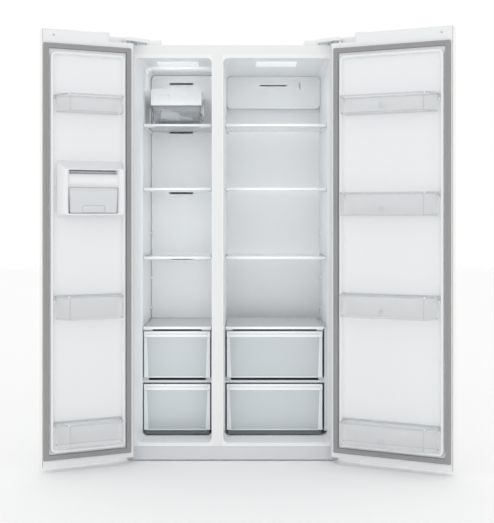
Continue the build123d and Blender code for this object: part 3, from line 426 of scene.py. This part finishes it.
def make_stage():
    scene = bpy.context.scene
    camera = bpy.data.objects.new("camera", bpy.data.cameras.new("camera"))
    scene.collection.objects.link(camera)
    camera.location = CABINET_ORIGIN + Vector((0.06084, -3.95674, 1.04084))
    camera.rotation_euler = (math.radians(90), 0, 0)
    camera.data.sensor_width = 36
    camera.data.lens = 64.30
    camera.data.shift_y = -0.0890
    camera.data.clip_end = 60
    scene.camera = camera

    floor_mesh = bpy.data.meshes.new("floor")
    reach = 14.0
    square = [(-reach, -reach, 0), (reach, -reach, 0), (reach, reach, 0), (-reach, reach, 0)]
    floor_mesh.from_pydata(square, [], [(0, 1, 2, 3)])
    floor_mesh.materials.append(vary(shader("floor", (0.97, 0.97, 0.97), 0.7), (0.97, 0.97, 0.97),
                                     (0.965, 0.965, 0.965), 0.6, (0.6, 0.8), 2, 60, 0.0002))
    floor = bpy.data.objects.new("floor", floor_mesh)
    scene.collection.objects.link(floor)

    world = bpy.data.worlds.new("studio")
    scene.world = world
    world.use_nodes = True
    world.node_tree.nodes["Background"].inputs["Color"].default_value = (1, 1, 1, 1)
    world.node_tree.nodes["Background"].inputs["Strength"].default_value = 1.0
    for name, where, aim, size, power, spread in LAMPS:
        lamp = bpy.data.objects.new(name, bpy.data.lights.new(name, "AREA"))
        lamp.data.shape = "RECTANGLE"
        lamp.data.size, lamp.data.size_y = size
        lamp.data.energy = power
        lamp.data.spread = math.radians(spread)
        lamp.location = CABINET_ORIGIN + Vector(where)
        lamp.rotation_euler = (Vector(aim) - Vector(where)).to_track_quat("-Z", "Z").to_euler()
        lamp.visible_camera = False
        scene.collection.objects.link(lamp)
    scene.view_settings.view_transform = "Standard"


# ------------------------------------------------------------------ doors
GASKET_PROFILE = ((0, -12), (0, -10.2), (1.5, -9.2), (3, -8.4), (1.6, -7), (1, -5.2), (1, -3.2), (2.2, -1.6),
                  (4.5, -0.9), (9.6, -0.9), (10.4, -1.7), (11.6, -1.7), (12.4, -0.9), (17.5, -0.9),
                  (19.8, -1.6), (21, -3.2), (21, -5.2), (20.4, -7), (19, -8.4), (20.5, -9.2), (22, -10.2),
                  (22, -12))


def gasket_rect(side):
    return door_span(side, GASKET_HINGE, DOOR_W[side] - GASKET_FREE[side])


def make_gasket(side):
    """The magnetic seal, with its bellows and the groove between its two sealing lips."""
    door = DOOR_NAME[side]
    seal = Builder("gasket_rubber")
    x = gasket_rect(side)
    seal.loops([upright(rounded(x, GASKET_Z, 5, 5, inset), y) for inset, y in GASKET_PROFILE], closed=True)
    seal.make(f"{door}_seal", door, side, (f"{door}_gasket",), smooth=50)


def make_door_liner(side):
    """The formed inner panel: flat flange, rounded ridge, raised field, basket bosses and the hole plug."""
    door = DOOR_NAME[side]
    width = DOOR_W[side]
    panel = Builder("door_liner_plastic", "light_grey_plastic")
    y = DOOR_INNER_Y
    near, far = 2.5, width - 2.5
    low, high = DOOR_Z[0] + 4.1, DOOR_Z[1] - 4.1
    corners = [(near, 33), (66, 33), (66, low), (far, low), (far, high), (109, high), (109, 1754),
               (near, 1754)]
    outline = [(door_x(side, u), z) for u, z in corners]
    panel.loops([upright(outline, y - 2), upright(outline, y - 0.1)])
    x = gasket_rect(side)
    ridge_x = (x[0] + RIDGE_IN, x[1] - RIDGE_IN)
    ridge = ((-1.5, 0), (-0.6, 0.6), (0.4, 3), (1.2, 9), (2.4, 13), (4.4, 15.4), (7, 16), (10, 15.6),
             (12.4, 13.8), (13.8, 10), (15, 5), (16.6, 2.4), (19.5, 1.3), (24, 1.1))
    panel.loops([upright(rounded(ridge_x, RIDGE_Z, 24, 8, inset), y - 0.4 + rise) for inset, rise in ridge])
    for _, high_z in BASKET_Z[side]:
        for edge in (x[0] + RIDGE_IN + RIDGE_W - 1, x[1] - RIDGE_IN - RIDGE_W - 5):
            panel.soft_box((edge, edge + 6), (y, y + RIDGE_H - 2), (high_z - 30, high_z - 18), 2)
    panel.use("light_grey_plastic")
    plug_x, plug_z = door_x(side, width - 46), DOOR_Z[1] - 24
    circle = [(plug_x + 5 * math.cos(a * math.pi / 8), plug_z + 5 * math.sin(a * math.pi / 8))
              for a in range(16)]
    panel.loops([upright(circle, y - 1), upright(circle, y + 1.2),
                 upright(inset_polygon(circle, 1.4), y + 1.8)])
    panel.make(f"{door}_inner_panel", door, side, (f"{door}_liner",))


def basket_outline(side, grow=0.0):
    """A door basket seen from above, with its slanted free end."""
    near = GASKET_HINGE + BASKET_END
    far = DOOR_W[side] - GASKET_FREE[side] - BASKET_END
    back = DOOR_INNER_Y + 1.6
    front = BASKET_FRONT
    corners = [(near, back), (far, back), (far, back + 34), (far - 42, front), (near + 6, front),
               (near, back + 40)]
    points = [(door_x(side, u), y) for u, y in corners]
    if side > 0:
        points.reverse()
    return inset_polygon(points, -grow) if grow else points


def make_basket(side, number, z):
    """A clear basket: thin drafted walls, a rolled rim, a base rib, end pillars and hanging lugs."""
    door = DOOR_NAME[side]
    name = f"{door}_basket_{number}"
    basket = Builder("clear_plastic", "clear_edge", "white_plastic", "light_grey_plastic")
    plan = basket_outline(side)

    def ring(inset, height):
        return level(round_polygon(inset_polygon(plan, inset), 9), height)

    walls = ((8, z[0]), (4.2, z[0] + 0.4), (2.6, z[0] + 2.2), (1.4, z[1] - 8.5), (1.2, z[1] - 7))
    inside = ((3.4, z[1] - 7), (3.8, z[1] - 9), (5, z[0] + 5), (6.8, z[0] + 3), (10, z[0] + 2.4))
    basket.loops([ring(inset, height) for inset, height in walls + inside])
    basket.use("clear_edge")
    rim = ((0.3, z[1] - 6), (0, z[1] - 1), (0.9, z[1]), (3.0, z[1]), (3.8, z[1] - 1), (3.6, z[1] - 7),
           (1.0, z[1] - 7))
    basket.loops([ring(inset, height) for inset, height in rim], closed=True)
    foot = ((2.0, z[0] + 2.6), (1.7, z[0] + 0.8), (2.6, z[0]), (4.6, z[0]), (4.6, z[0] + 2.6))
    basket.loops([ring(inset, height) for inset, height in foot], closed=True)
    far = DOOR_W[side] - GASKET_FREE[side] - BASKET_END
    front = BASKET_FRONT
    for u in (GASKET_HINGE + BASKET_END + 10, far - 45):
        x = door_span(side, u, u + 2.2)
        basket.soft_box(x, (front - 4.4, front - 1.2), (z[0] + 1, z[1] - 6), 0.8)
    # A small white block at the front corner where the slanted end begins: painted highlight standing in for the
    # bright glint on the clear rim there.
    basket.use("white_plastic")
    x = door_span(side, far - 46, far - 38)
    basket.soft_box(x, (front - 6.5, front - 1.6), (z[1] - 6, z[1] + 0.3), 2)
    basket.use("light_grey_plastic")
    for u in (GASKET_HINGE + 41.5, far - 1.5):
        x = door_span(side, u, u + 6)
        basket.soft_box(x, (DOOR_INNER_Y + 5.4, DOOR_INNER_Y + 14.5), (z[1] - 17.4, z[1] - 3), 1.5)
    slant = ((far - 1.5, DOOR_INNER_Y + 37), (far - 41, front - 2), (far - 44, front - 5.5),
             (far - 5.5, DOOR_INNER_Y + 37))
    strip = [(door_x(side, u), y) for u, y in slant]
    basket.loops([level(strip, z[1] - 5), level(strip, z[1] + 0.7)])
    if side > 0:
        make_bottle_mark(basket, side, front, z)
    basket.make(f"{name}_tub", name, side, (name,))


def make_bottle_mark(basket, side, front, z):
    """A plain moulded mark of three upright bars over a line."""
    middle = door_x(side, 238)
    for k in (-1, 0, 1):
        at = middle + 9 * k
        top = z[0] + 36 + (4 if k == 0 else 0)
        basket.soft_box((at - 2.2, at + 2.2), (front - 2.2, front - 0.9), (z[0] + 20, top), 0.6)
    basket.soft_box((middle - 20, middle + 20), (front - 2.2, front - 0.9), (z[0] + 15, z[0] + 16.6), 0.5)


def door_tub(builder, u, y, z, taper, wall, r):
    """An open topped box on the left door, narrower at its bottom by taper on each side."""
    x = door_span(-1, *u)

    def ring(inset, height):
        side_in = inset + taper * (1 - (height - z[0]) / (z[1] - z[0]))
        return level(rounded((x[0] + side_in, x[1] - side_in), (y[0] + inset, y[1] - inset), r, 4), height)

    levels = ((4, z[0]), (1.2, z[0] + 1), (0, z[0] + 4), (0, z[1] - 0.6), (0.5, z[1]), (wall, z[1]),
              (wall, z[0] + 5), (wall + 2, z[0] + 2.6))
    builder.loops([ring(inset, height) for inset, height in levels])


def make_housing():
    """The moulded housing on the freezer door, with a slot for a tray and a bay for the small drawer."""
    back, face = DOOR_INNER_Y + 0.4, DOOR_INNER_Y + 76.0
    base_x, base_z = door_span(-1, 55.5, 326.0), (1038.0, 1262.0)
    face_x, face_z = door_span(-1, 62.0, 306.0), (1041.0, 1225.0)

    def ring(t, inset=0.0):
        x = tuple(a + (b - a) * t for a, b in zip(base_x, face_x))
        z = tuple(a + (b - a) * t for a, b in zip(base_z, face_z))
        return upright(rounded(x, z, 12 - 3 * t, 6, inset), back + (face - back) * t)

    shell = Builder("white_plastic", "slope_painted_shade")
    shell.loops([ring(0), ring(0.02), ring(0.96), ring(0.985, 0.9), ring(1.0, 2.6)])
    housing = shell.make("dispenser_housing", "left_door", -1, ("door_housing",))
    openings = (("bay", (89, 292), (1047, 1150), 68), ("tray_slot", (91, 290), (1205, 1222), 62))
    for label, u, z, depth in openings:
        cutter = Builder("white_plastic")
        cutter.soft_box(door_span(-1, *u), (face - depth, face + 12), z, 4)
        hole = cutter.make(f"cut_{label}", "left_door", -1)
        cut = housing.modifiers.new(label, "BOOLEAN")
        cut.object = hole
        cut.solver = "EXACT"
        bpy.context.view_layer.objects.active = housing
        bpy.ops.object.modifier_apply(modifier=label)
        bpy.data.objects.remove(hole)
    # The upward-facing faces at the housing's top get the darker copy: painted shade on the slope.
    for polygon in housing.data.polygons:
        if polygon.normal.z > 0.6 and polygon.center.z > face_z[1] * MM - 0.001:
            polygon.material_index = 1

    tray = Builder("clear_plastic", "clear_edge")
    door_tub(tray, (92.5, 288.5), (face - 58, face + 0.8), (1206, 1214), 1.0, 1.8, 4)
    tray.use("clear_edge")
    tray.soft_box(door_span(-1, 92.5, 288.5), (face - 0.4, face + 1.2), (1212, 1214.5), 0.6)
    tray.make("tray_in_housing", "left_door", -1)

    drawer = Builder("frosted_plastic", "clear_edge", "grey_plastic", "light_grey_plastic")
    u, z = (90.5, 290.5), (1048.4, 1149.0)
    drawer_y = (face - 66, face + 1.6)
    door_tub(drawer, u, drawer_y, z, 4.5, 2.2, 5)
    x = door_span(-1, *u)
    drawer.use("light_grey_plastic")
    for edge, inward in ((x[0], 1), (x[1], -1)):
        outline = [(edge + inward * 4.6, z[0] + 4), (edge + inward * 6.6, z[0] + 4),
                   (edge + inward * 2.4, z[1] - 2), (edge + inward * 0.4, z[1] - 2)]
        plate(drawer, outline if inward > 0 else outline[::-1], (drawer_y[1] - 1.6, drawer_y[1] + 0.4), 0.4)
    drawer.soft_box((x[0] + 8, x[1] - 8), (drawer_y[1] - 1.2, drawer_y[1] + 0.4), (z[0] + 0.6, z[0] + 2.4),
                    0.5)
    drawer.use("clear_edge")
    drawer.soft_box((x[0] + 1, x[1] - 1), (drawer_y[1] - 1.6, drawer_y[1] + 0.5), (z[1] - 9, z[1] - 7.6), 0.5)
    grip_x = ((x[0] + x[1]) / 2 - 47, (x[0] + x[1]) / 2 + 47)
    ring_bead(drawer, grip_x, (z[0] + 1, z[0] + 31), 8, drawer_y[1] + 1.4, 1.8, 1.6)
    drawer.use("grey_plastic")
    for edge, inward in ((x[0], 1), (x[1], -1)):
        drawer.soft_box((edge, edge + inward * 4.5), (drawer_y[1] - 2, drawer_y[1] + 0.6),
                        (z[1] - 3, z[1] + 0.4), 0.8)
    drawer.make("small_door_drawer", "door_drawer", -1, ("door_drawer",))


# ------------------------------------------------------------------ shelves
def make_shelf(node, body, bracket, pane="shelf_glass", hooks=True):
    """A glass shelf with a moulded front trim, deeper brackets at its ends and small hooks under them."""
    x, y, z = span(node)
    top = z[1] - 0.8
    shelf = Builder(pane, "white_plastic", "glass_edge", "grey_plastic", "light_grey_plastic")
    joint = y[0] + 13
    outline = rounded((x[0] + 0.6, x[1] - 0.6), (joint - 4, y[1]), 6, 4)
    inner = [(px + (0.5 if px < (x[0] + x[1]) / 2 else -0.5), py) for px, py in outline]
    shelf.loops([level(inner, top - 4), level(outline, top - 3.5), level(outline, top - 0.5),
                 level(inner, top)])
    shelf.use("glass_edge")
    for wall, inward in ((x[0], 1), (x[1], -1)):
        shelf.soft_box((wall, wall + inward * 2), (joint, y[1] - 6), (top - 3.9, top - 0.1), 0.6)
    shelf.use("white_plastic")
    trim = ((y[0] + 0.8, top - 9.4), (y[0], top - 8), (y[0], top - 1.2), (y[0] + 1.2, top + 0.6),
            (y[0] + 3, top + 0.8), (joint, top + 0.6), (joint, top - 5), (y[0] + 6, top - 5.6),
            (y[0] + 4, top - 9.6))
    prism_x(shelf, trim, x)
    shelf.use("light_grey_plastic")
    for end in ((x[0] + 0.3, x[0] + bracket), (x[1] - bracket, x[1] - 0.3)):
        shelf.soft_box(end, (y[0] + 1.2, joint - 0.5), (top - 15, top - 8.6), 1.4)
    if hooks:
        shelf.use("grey_plastic")
        for end, inward in ((x[0], 1), (x[1], -1)):
            shelf.soft_box((end + inward * 5, end + inward * 13), (y[0] + 3, joint - 1),
                           (top - 15, top - 13.4), 0.6)
            shelf.soft_box((end + inward * 5, end + inward * 9), (joint - 3, joint),
                           (top - 14.8, top - 5), 0.8)
    shelf.make(f"{node}_pane", body, None, (node,))


# ------------------------------------------------------------------ drawers
def make_drawer(name):
    """A translucent drawer: drafted bin, front panel with lighter side bands, and a white handle."""
    x, y, z = span(f"{name}_bin")
    x, front_y, handle_z = span(f"{name}_handle")
    front = front_y[0]
    top = handle_z[1]
    tub = Builder("drawer_plastic", "drawer_band", "grey_plastic", "light_grey_plastic")

    def ring(inset, height):
        draft = 9 * (1 - (height - z[0]) / (z[1] - z[0]))
        grow = inset + draft
        across = (x[0] + 4 + grow, x[1] - 4 - grow)
        return level(rounded(across, (front + 2 + inset, y[1] - 1 - grow), 12, 4), height)

    levels = ((5, z[0]), (1.6, z[0] + 1), (0, z[0] + 4), (0, z[1] - 9), (-2.6, z[1] - 8.4),
              (-2.6, z[1] - 5.4), (0, z[1] - 5), (0.2, z[1] - 0.3), (2.2, z[1] - 0.3),
              (2.5, z[0] + 6), (4.5, z[0] + 2.6))
    tub.loops([ring(inset, height) for inset, height in levels])
    low, high = z[0], top - HANDLE_H - 0.4
    tub.soft_box(x, (front + 1.4, front + 4), (low, high), 1.0)
    tub.use("drawer_band")
    for edge, inward in ((x[0], 1), (x[1], -1)):
        outline = [(edge + inward * 0.8, low + 1), (edge + inward * 20, low + 1),
                   (edge + inward * 13, high - 1), (edge + inward * 0.8, high - 1)]
        plate(tub, outline if inward > 0 else outline[::-1], (front + 0.9, front + 2.2), 0.4)
    tub.soft_box((x[0] + 19, x[1] - 19), (front + 0.8, front + 2.4), (low, low + 5.5), 1.2)
    tub.use("grey_plastic")
    for edge, inward in ((x[0], 1), (x[1], -1)):
        dot_x = edge + inward * 26
        tub.soft_box((dot_x - 2.4, dot_x + 2.4), (front + 0.7, front + 2.6), (low + 3.4, low + 6.4), 1.0)
    tub.make(f"{name}_tub", name, None, (f"{name}_bin",))

    handle = Builder("handle_plastic", "light_grey_plastic")
    bottom = top - HANDLE_H
    profile = ((front + 0.8, bottom + 0.4), (front, bottom + 1.6), (front, top - 2.4),
               (front + 0.7, top - 0.8), (front + 2.4, top), (front + 9, top),
               (front + 9, top - 3), (front + 4.4, top - 4.4), (front + 3.6, top - 8),
               (front + 3.6, bottom + 3), (front + 2.6, bottom + 0.4))
    prism_x(handle, profile, x)
    handle.use("light_grey_plastic")
    handle.soft_box((x[0] + 1, x[1] - 1), (front + 0.6, front + 2.6), (bottom - 0.9, bottom + 0.7), 0.5)
    handle.make(f"{name}_grip", name, None, (f"{name}_handle",))


# ------------------------------------------------------------------ ice maker
def make_ice_maker():
    """The white ice maker with two finger recesses."""
    x, y, z = span("ice_maker")
    low = 1525.0
    maker = Builder("white_plastic", "light_grey_plastic")
    columns, rows, radius = 56, 20, 12.0
    centres = (x[0] + 52, x[1] - 52)

    def recess(px, pz):
        """Depth of the finger recesses: full just under their arched top edge, fading out downward."""
        deepest = 0.0
        for centre in centres:
            across = abs(px - centre) / 34
            arch = low + 49 - 9 * max(0.0, across - 0.62) ** 2 * 16
            under = (arch - pz) / 4.0
            edge = min(max(under, 0.0), 1.0) * min(max((1 - across) * 8, 0.0), 1.0)
            fade = min(max((pz - low - 6) / 40, 0.0), 1.0)
            deepest = max(deepest, 5.0 * edge * fade)
        return deepest

    grid = []
    for row in range(rows + 1):
        pz = low + (z[1] - low) * row / rows
        line = []
        for column in range(columns + 1):
            px = x[0] + (x[1] - x[0]) * column / columns
            qx, qz = px, pz
            for corner, inward in ((x[0], 1), (x[1], -1)):
                cx, cz = corner + inward * radius, z[1] - radius
                if (px - cx) * inward < 0 and pz > cz:
                    offset = Vector((px - cx, pz - cz))
                    if offset.length > radius:
                        offset = offset.normalized() * radius
                    qx, qz = cx + offset.x, cz + offset.y
            line.append((qx, y[0] + recess(px, pz), qz))
        grid.append(line)
    start = len(maker.points)
    maker.points.extend([point for line in grid for point in line])
    wide = columns + 1
    for row in range(rows):
        for column in range(columns):
            a = start + row * wide + column
            maker.add((a, a + 1, a + wide + 1, a + wide))
    border = ([(0, c) for c in range(columns + 1)] + [(r, columns) for r in range(1, rows + 1)]
              + [(rows, c) for c in range(columns - 1, -1, -1)] + [(r, 0) for r in range(rows - 1, 0, -1)])
    rim = [start + r * wide + c for r, c in border]
    back = len(maker.points)
    maker.points.extend([(maker.points[i][0], y[1] - 0.3, maker.points[i][2]) for i in rim])
    for k in range(len(rim)):
        m = (k + 1) % len(rim)
        maker.add((rim[m], rim[k], back + k, back + m))
    maker.add(tuple(back + k for k in range(len(rim))))
    for wall, inward in ((x[0], 1), (x[1], -1)):
        maker.soft_box((wall, wall + inward * 2.2), (y[0] + 30, y[1] - 40), (z[0], low + 1), 0.6)
        maker.soft_box((wall, wall + inward * 6.8), (y[0] + 30, y[1] - 40), (z[0], z[0] + 3.6), 0.6)
    maker.use("light_grey_plastic")
    maker.soft_box((x[0] + 1, x[1] - 1), (y[0] + 1, y[0] + 4), (low - 1.2, low + 0.6), 0.5)
    maker.make("ice_maker_case", "cabinet", None, ("ice_maker",))


def make_bucket():
    x, y, z = span("ice_bucket")
    bucket = Builder("smoked_plastic", "smoked_edge")

    def ring(inset, height):
        return level(rounded(x, y, 9, 4, inset), height)

    band = z[1] - 25
    levels = ((17, z[0]), (10, z[0] + 1), (6.4, z[0] + 4), (5.2, z[0] + 9), (5, band - 1), (0.6, band + 0.4),
              (0, band + 2), (0, z[1] - 0.8), (0.8, z[1]), (2.4, z[1]), (2.6, band + 2), (7.2, band - 1),
              (7.6, z[0] + 9), (12, z[0] + 3.4), (18, z[0] + 2.6))
    bucket.loops([ring(inset, height) for inset, height in levels])
    bucket.use("smoked_edge")
    bucket.soft_box((x[0] + 2, x[1] - 2), (y[0] - 0.2, y[0] + 2.0), (z[1] - 3.2, z[1] - 0.6), 0.6)
    for wall, inward in ((x[0], 1), (x[1], -1)):
        bucket.soft_box((wall + inward * 4.8, wall + inward * 8), (y[0] + 4.4, y[0] + 8),
                        (z[0] + 8, band - 1), 1.2)
        bucket.soft_box((wall + inward * 0.2, wall + inward * 2.8), (y[0] + 1, y[0] + 4.4),
                        (band + 1, z[1] - 3), 1)
    bucket.soft_box((x[0] + 16, x[1] - 16), (y[0] + 5.6, y[0] + 9), (z[0] + 0.6, z[0] + 3.4), 1.2)
    bucket.make("ice_bucket_tub", "ice_bucket", None, ("ice_bucket",))


def make_scoop():
    """A scoop lying in the bucket: a rounded open blade that narrows into its handle."""
    x, y, z = span("ice_scoop")
    middle_y = (y[0] + y[1]) / 2
    floor_z = z[0] - 1
    scoop = Builder("white_plastic")
    tilt = math.radians(7)

    def ring(at, half_y, low_z, high_z, r):
        outline = rounded((-half_y, half_y), (low_z, high_z), r, 4)
        turned = []
        for py, pz in outline:
            tx = at * math.cos(tilt) + pz * math.sin(tilt)
            tz = -at * math.sin(tilt) + pz * math.cos(tilt)
            turned.append((x[0] + 76 + tx, middle_y + py, floor_z + tz))
        return turned

    outside = ((-69, 32, 1, 50, 9), (-40, 33, 0, 49, 10), (-6, 31, 0.5, 45, 12), (8, 26, 3, 40, 12),
               (16, 18, 8, 32, 9), (22, 10, 12, 28, 6), (60, 9, 12.5, 27, 6), (68, 7.5, 14, 26, 6),
               (71.5, 4, 17, 23, 3))
    inside = ((6, 20, 6, 36, 10), (-8, 29, 3, 43, 11), (-40, 31, 2, 47, 9), (-69, 30, 3, 48, 8))
    scoop.loops([ring(*section) for section in outside[::-1] + inside[::-1]])
    scoop.make("scoop", "ice_bucket", None, ("ice_scoop",), smooth=60)


# ------------------------------------------------------------------ hinge covers
def make_hinge_cover():
    """Both hinge covers as one piece: a flat box on the cabinet and a visor that sweeps out over the pin."""
    cover = Builder("white_plastic", "grey_plastic", "light_grey_plastic")
    for side in (-1, 1):
        def across(first, last, side=side):
            return tuple(sorted((side * first, side * last)))
        cover.use("white_plastic")
        cover.soft_box(across(*COVER_X), COVER_Y, (CAB_H + 17, CAB_H + 21), 1.6)
        cover.soft_box(across(COVER_X[0], 416), (COVER_Y[0], 7), (CAB_H + 0.1, CAB_H + 19), 0.8)
        cover.soft_box(across(*COVER_X), (63, COVER_Y[1]), (CAB_H + 0.1, CAB_H + 19), 0.8)
        for edge in (COVER_X[0], COVER_X[1] - 3):
            cover.soft_box(across(edge, edge + 3), (5, 65), (CAB_H + 0.1, CAB_H + 19), 0.8)
        corners = [(side * x, y) for x in VISOR_X for y in VISOR_Y]
        corners += [(side * PIN_X + VISOR_R * math.cos(a * math.pi / 16),
                     PIN_Y + VISOR_R * math.sin(a * math.pi / 16)) for a in range(32)]
        plan = [corners[k] for k in geometry.convex_hull_2d(corners)]
        shape = ((1.5, 9.2), (0.3, 9.4), (0, 10.2), (0, 22.4), (0.6, 23.6), (2, 24))
        cover.loops([level(inset_polygon(plan, inset), CAB_H + height) for inset, height in shape])
        cover.use("light_grey_plastic")
        ring_bead(cover, across(376, 401), (CAB_H + 2, CAB_H + 8.6), 2, 4.4, 1.4, 0.8)
        cover.use("grey_plastic")
        cover.soft_box(across(405.5, 409.5), (3.4, 6), (CAB_H + 1, CAB_H + 8.8), 0.8)
        cover.soft_box(across(365, 371), (3.4, 6), (CAB_H + 1.5, CAB_H + 8), 0.8)
    cover.make("hinge_cover_pair", "cabinet", None, ("hinge_covers",))


def make_door_lip(side):
    """The raised front lip of a door's top cap, beside the hinge notch."""
    door = DOOR_NAME[side]
    lip = Builder("white_plastic")
    lip.soft_box(door_span(side, 29, 107), (-67.4, -58.6), (1760, 1787), 1.5)
    lip.make(f"{door}_top_lip", door, side)


def make_drawer_bay_shade():
    """A dark strip under each lower drawer's front, set back behind it: painted shade standing in for the deep
    shadow in the gap under the drawers.
    """
    gap = Builder("painted_shade_gap")
    for drawer in ("freezer_drawer_lower", "crisper_lower"):
        x, y, z = span(f"{drawer}_bin")
        outline = rounded((x[0] + 4, x[1] - 6), (z[0] - 19, z[0] - 1.5), 6, 5, 0)
        gap.loops([upright(outline, y[0] + 8), upright(outline, y[0] + 11)])
    gap.make("drawer_bay_painted_shade", "cabinet", None)


make_materials()
make_stage()
finish_cad_nodes()
for door_side in (-1, 1):
    make_gasket(door_side)
    make_door_liner(door_side)
    make_door_lip(door_side)
    for basket_number, basket_z in enumerate(BASKET_Z[door_side], 1):
        make_basket(door_side, basket_number, basket_z)
make_housing()
for compartment in ("freezer", "fridge"):
    for shelf_number in (1, 2, 3):
        make_shelf(f"{compartment}_shelf_{shelf_number}", f"{compartment}_shelf_{shelf_number}", 48)
make_shelf("freezer_drawer_cover", "cabinet", 40, "cover_glass", False)
make_shelf("crisper_cover", "cabinet", 30, "cover_glass", False)
for drawer_name in ("freezer_drawer_upper", "freezer_drawer_lower", "crisper_upper", "crisper_lower"):
    make_drawer(drawer_name)
make_ice_maker()
make_bucket()
make_scoop()
make_hinge_cover()
make_drawer_bay_shade()
